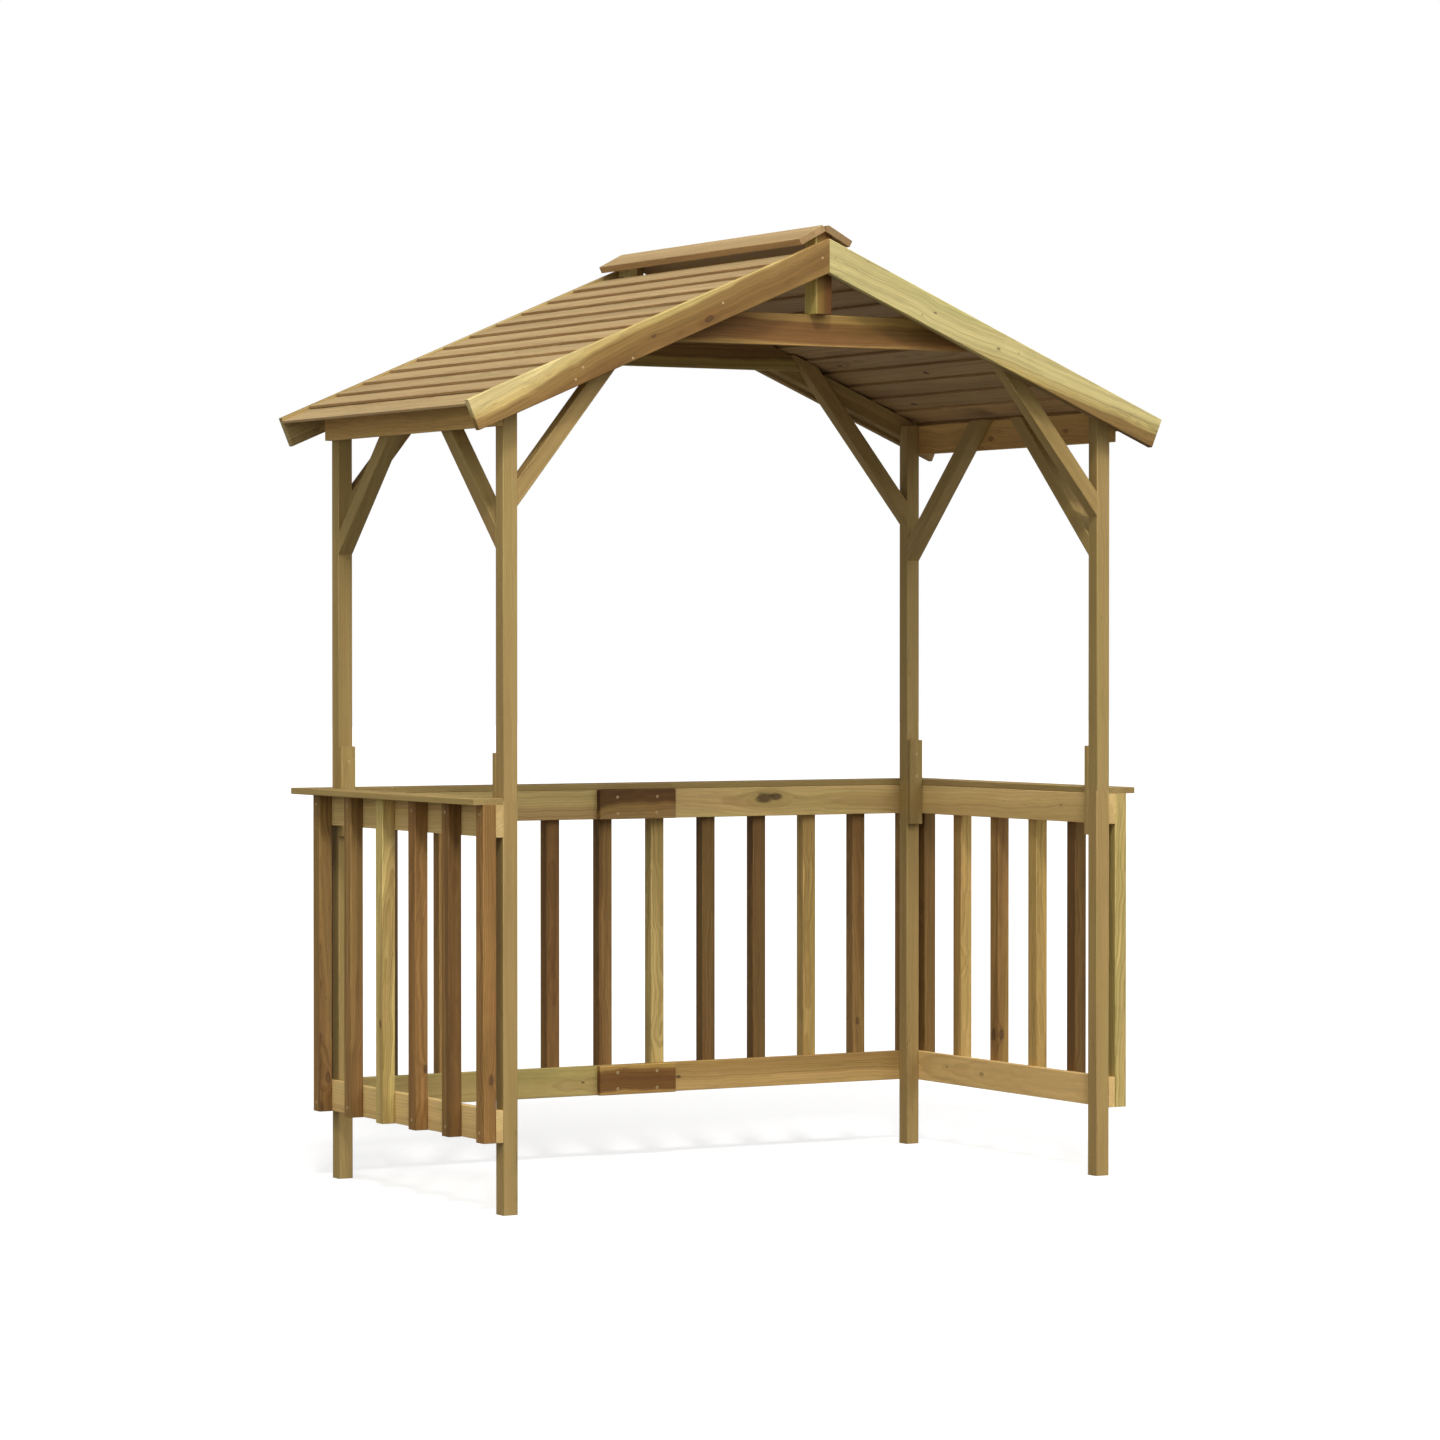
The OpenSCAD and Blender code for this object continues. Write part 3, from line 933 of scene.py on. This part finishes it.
class SHELTER_OT_roof_frame(ShelterOperator):
    """Dress the eaves beams, rafters, collar ties and king posts"""

    bl_idname = "shelter.roof_frame"
    bl_label = "Roof frame"

    def execute(self, context):
        dress([f"{side}_eaves_beam" for side in SIDES], "eaves_beam")
        dress([f"rafter_{end}_{side}" for end in ENDS for side in SIDES], "rafter")
        dress([f"collar_tie_{end}" for end in ENDS], "collar_tie")
        dress([f"king_post_{end}" for end in ENDS], "king_post")
        return {"FINISHED"}


class SHELTER_OT_barge_boards(ShelterOperator):
    """Dress the four barge boards"""

    bl_idname = "shelter.barge_boards"
    bl_label = "Barge boards"

    def execute(self, context):
        dress([f"barge_board_{end}_{side}" for end in ENDS for side in SIDES], "barge_board")
        return {"FINISHED"}


class SHELTER_OT_braces(ShelterOperator):
    """Dress the gable braces and the side braces"""

    bl_idname = "shelter.braces"
    bl_label = "Braces"

    def execute(self, context):
        dress([f"gable_braces_{end}" for end in ENDS], "gable_brace")
        dress([f"side_braces_{side}" for side in SIDES], "side_brace")
        return {"FINISHED"}


class SHELTER_OT_roof(ShelterOperator):
    """Dress the lapped roof boards and the ridge cap"""

    bl_idname = "shelter.roof"
    bl_label = "Roof boards"

    def execute(self, context):
        thin = context.scene.shelter_timber.thin_arris
        dress([f"{side}_roof_boards" for side in SIDES], "roof_board", arris=thin)
        dress([f"ridge_cap_{side}" for side in SIDES], "ridge_board")
        return {"FINISHED"}


class SHELTER_OT_screws(ShelterOperator):
    """Drive the screws through the pickets, plates and shelves"""

    bl_idname = "shelter.screws"
    bl_label = "Screws"

    def execute(self, context):
        for side, outward in (("left", -1), ("right", 1), ("rear", 1)):
            name = f"{side}_pickets"
            places = [(0.023, 0.0), (0.744, 0.0)]
            heads(name, places, outward, cross_head)
        plate_screws = [(x, y) for x in (0.05, 0.163) for y in (0.018, -0.022)]
        heads("rail_joint_plates", plate_screws, -1, cross_head)
        splice_screws = [(0.125, 0.002), (0.18, 0.002)]
        heads("splice_plates_front", splice_screws, 1, cross_head)
        heads("splice_plates_rear", splice_screws, -1, cross_head)
        for side in (*SIDES, "rear"):
            name = f"{side}_shelf"
            run = boards(name)[0].size.x
            inner = {"left": 0.028, "right": -0.028, "rear": -0.028}[side]
            places = [
                (run * (step + 0.5) / SCREWS_PER_SHELF, inner) for step in range(SCREWS_PER_SHELF)
            ]
            heads(name, places, 1, cross_head)
        return {"FINISHED"}


class SHELTER_OT_nails(ShelterOperator):
    """Drive the nails through the barge boards, roof boards and ridge cap"""

    bl_idname = "shelter.nails"
    bl_label = "Nails"

    def execute(self, context):
        along = {
            "left": (
                (0.992, 0.002), (0.698, 0.0), (0.428, -0.03),
                (0.42, 0.029), (0.301, -0.003), (0.273, -0.02),
            ),
            "right": ((0.032, 0.002), (0.3, -0.02), (0.586, 0.01), (0.964, 0.005)),
        }
        for end, outward in (("front", -1), ("rear", 1)):
            for side in SIDES:
                heads(f"barge_board_{end}_{side}", along[side], outward, round_head)
        for side in SIDES:
            name = f"{side}_roof_boards"
            run = boards(name)[0].size.x
            places = [(x, y) for x in (0.009, run - 0.009) for y in (-0.025, 0.012)]
            heads(name, places, 1, round_head)
            name = f"ridge_cap_{side}"
            run = boards(name)[0].size.x
            heads(name, [(x, 0.0) for x in (0.03, run - 0.03)], 1, round_head)
        return {"FINISHED"}


def boards(name):
    if name not in BOARDS:
        raise RuntimeError(f"{name} has to be dressed before its fixings")
    return BOARDS[name]


def heads(name, places, outward, make_head):
    """Sets a head at each place (along, across) of each board of a node, on one wide face."""
    bm = bmesh.new()
    fixings = bpy.context.scene.shelter_fixings
    rng = random.Random(f"{name} heads")
    for board in boards(name):
        # Unrounded, an upright normal's last digits would turn its heads anew in each run.
        normal = Vector([round(c, NORMAL_DIGITS) + 0.0 for c in board.through]) * outward
        for along, across in places:
            along += rng.uniform(-STRAY, STRAY)
            across += rng.uniform(-STRAY, STRAY)
            point = board.at(along, across, outward * board.size.z / 2)
            tilt = Vector((rng.uniform(-TILT, TILT), rng.uniform(-TILT, TILT), 1)).normalized()
            place = (
                Matrix.Translation(point)
                @ normal.to_track_quat("Z", "Y").to_matrix().to_4x4()
                @ tilt.to_track_quat("Z", "Y").to_matrix().to_4x4()
                @ Matrix.Rotation(rng.uniform(0, 2 * math.pi), 4, "Z")
            )
            make_head(bm, place, fixings)
    kind = "screws" if make_head is cross_head else "nails"
    mesh = bpy.data.meshes.new(f"{kind}_{name}")
    bm.to_mesh(mesh)
    bm.free()
    mesh.materials.append(plated_material(kind))
    piece = put(mesh.name, mesh)
    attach(piece, BODY)


def ring(bm, place, radius, height, count, turn=0.0):
    return [
        bm.verts.new(place @ Vector((radius * math.cos(a), radius * math.sin(a), height)))
        for a in (2 * math.pi * step / count + turn for step in range(count))
    ]


def skirt(bm, outer, inner):
    count = len(outer)
    for step in range(count):
        after = (step + 1) % count
        bm.faces.new((outer[step], outer[after], inner[after], inner[step]))


def cross_head(bm, place, fixings):
    """A countersunk head with a tapered cross recess."""
    radius, proud = fixings.screw / 2, fixings.proud
    turn = math.radians(-15)
    rim = ring(bm, place, radius, -RIM_DEPTH, SCREW_SIDES, turn)
    edge = ring(bm, place, radius * 0.93, proud, SCREW_SIDES, turn)
    skirt(bm, rim, edge)
    arm, width = 0.58 * radius, 0.17 * radius
    outline = []
    for quarter in range(4):
        for x, y in ((arm, -width), (arm, width), (width, width)):
            outline.append(Matrix.Rotation(quarter * math.pi / 2, 2) @ Vector((x, y)))
    top = [bm.verts.new(place @ Vector((x, y, proud))) for x, y in outline]
    low = [bm.verts.new(place @ Vector((0.7 * x, 0.7 * y, -0.45 * radius))) for x, y in outline]
    # The recess has half as many corners as the head, so each of its sides takes two of the rim's.
    for step in range(len(top)):
        after = (step + 1) % len(top)
        rim_part = [edge[(2 * step + extra) % SCREW_SIDES] for extra in (0, 1, 2)]
        bm.faces.new((*rim_part, top[after], top[step]))
    skirt(bm, top, low)
    bm.faces.new(low)


def round_head(bm, place, fixings):
    """A flat nail head, slightly domed by the hammer."""
    radius, proud = fixings.nail / 2, fixings.proud
    profile = ((1.0, -RIM_DEPTH), (1.0, 0.4 * proud), (0.86, 0.8 * proud), (0.4, proud))
    rings = [ring(bm, place, radius * share, height, NAIL_SIDES) for share, height in profile]
    for outer, inner in zip(rings, rings[1:]):
        skirt(bm, outer, inner)
    bm.faces.new(rings[-1])


class SHELTER_OT_stage(ShelterOperator):
    """Lay the pale floor, hang the soft lamps and place the camera"""

    bl_idname = "shelter.stage"
    bl_label = "Stage"

    def execute(self, context):
        scene = context.scene
        studio = scene.shelter_studio
        lay_floor(studio)
        hang_lamps(scene, studio)
        place_camera(scene)
        return {"FINISHED"}


def lay_floor(studio):
    mesh = bpy.data.meshes.new("studio_floor")
    reach = 60
    mesh.from_pydata(
        [(-reach, -reach, 0), (reach, -reach, 0), (reach, reach, 0), (-reach, reach, 0)],
        [],
        [(0, 1, 2, 3)],
    )
    floor = put("studio_floor", mesh)
    material, wires, shader = blank_material("studio_floor")
    # The floor throws little light back on the timbers, and glows for the camera alone.
    seen = wires.node("ShaderNodeLightPath").outputs["Is Camera Ray"]
    shade = tuple(studio.floor)
    dim, half = (tuple(share * c for c in shade) for share in (0.25, 0.5))
    wires.feed(shader.inputs["Base Color"], wires.mix(seen, dim, half))
    wires.feed(shader.inputs["Emission Strength"], wires.times(seen, 0.62))
    shader.inputs["Emission Color"].default_value = (1, 1, 1, 1)
    shader.inputs["Roughness"].default_value = 0.9
    shader.inputs["Specular IOR Level"].default_value = 0.1
    mesh.materials.append(material)


def lamp(name, heading, height, softness, power):
    """A distant lamp. heading is from the front towards the left, height above the horizon, and
    softness the width of the lamp as it is seen, all in degrees."""
    light = bpy.data.lights.new(name, "SUN")
    light.angle = math.radians(softness)
    light.energy = power
    holder = put(name, light)
    turn, rise = math.radians(heading), math.radians(height)
    towards = Vector((
        -math.sin(turn) * math.cos(rise), -math.cos(turn) * math.cos(rise), math.sin(rise)
    ))
    holder.rotation_euler = (-towards).to_track_quat("-Z", "Y").to_euler()


def hang_lamps(scene, studio):
    lamp("key", heading=27, height=50, softness=9, power=studio.key)
    lamp("front", heading=-20, height=42, softness=60, power=studio.front)
    lamp("left", heading=65, height=20, softness=90, power=studio.left)
    lamp("right", heading=-95, height=33, softness=90, power=studio.right)
    world = bpy.data.worlds.new("studio")
    scene.world = world
    world.use_nodes = True
    wires = Wiring(world.node_tree)
    background = world.node_tree.nodes["Background"]
    seen = wires.node("ShaderNodeLightPath").outputs["Is Camera Ray"]
    background.inputs["Color"].default_value = (1, 1, 1, 1)
    wires.feed(background.inputs["Strength"], wires.step(seen, 0, 1, (studio.sky, 1.0)))
    scene.view_settings.view_transform = "Standard"


def place_camera(scene):
    data = bpy.data.cameras.new("camera")
    data.sensor_width = 36
    data.lens = 118.69
    data.clip_end = 200
    camera = put("camera", data)
    camera.location = (-5.7634, -10.0013, 1.2855)
    camera.rotation_euler = (math.radians(89.132), 0, math.radians(-29.96))
    scene.camera = camera


class SHELTER_PT_panel(bpy.types.Panel):
    """Lists the shelter's sizes, colours and operators"""

    bl_idname = "SHELTER_PT_panel"
    bl_label = "Barbecue shelter"
    bl_space_type = "VIEW_3D"
    bl_region_type = "UI"
    bl_category = "Shelter"

    def draw(self, context):
        for name in PROPERTY_GROUPS:
            box = self.layout.box()
            values = getattr(context.scene, name)
            for field in values.bl_rna.properties:
                if field.identifier not in ("rna_type", "name"):
                    box.prop(values, field.identifier)
        for operator in OPERATORS:
            self.layout.operator(operator.bl_idname)


PROPERTY_GROUPS = {
    "shelter_timber": ShelterTimberSizes,
    "shelter_colours": ShelterColours,
    "shelter_fixings": ShelterFixings,
    "shelter_studio": ShelterStudio,
}
OPERATORS = (
    SHELTER_OT_posts,
    SHELTER_OT_plates,
    SHELTER_OT_rails,
    SHELTER_OT_pickets,
    SHELTER_OT_shelves,
    SHELTER_OT_roof_frame,
    SHELTER_OT_barge_boards,
    SHELTER_OT_braces,
    SHELTER_OT_roof,
    SHELTER_OT_screws,
    SHELTER_OT_nails,
    SHELTER_OT_stage,
)


def register():
    for name, kind in PROPERTY_GROUPS.items():
        bpy.utils.register_class(kind)
        setattr(bpy.types.Scene, name, PointerProperty(type=kind))
    for kind in (*OPERATORS, SHELTER_PT_panel):
        bpy.utils.register_class(kind)


def unregister():
    for kind in (SHELTER_PT_panel, *reversed(OPERATORS)):
        bpy.utils.unregister_class(kind)
    for name, kind in reversed(PROPERTY_GROUPS.items()):
        delattr(bpy.types.Scene, name)
        bpy.utils.unregister_class(kind)


def main():
    register()
    for operator in OPERATORS:
        group_name, action = operator.bl_idname.split(".")
        getattr(getattr(bpy.ops, group_name), action)()
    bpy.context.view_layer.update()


if __name__ == "__main__":
    main()
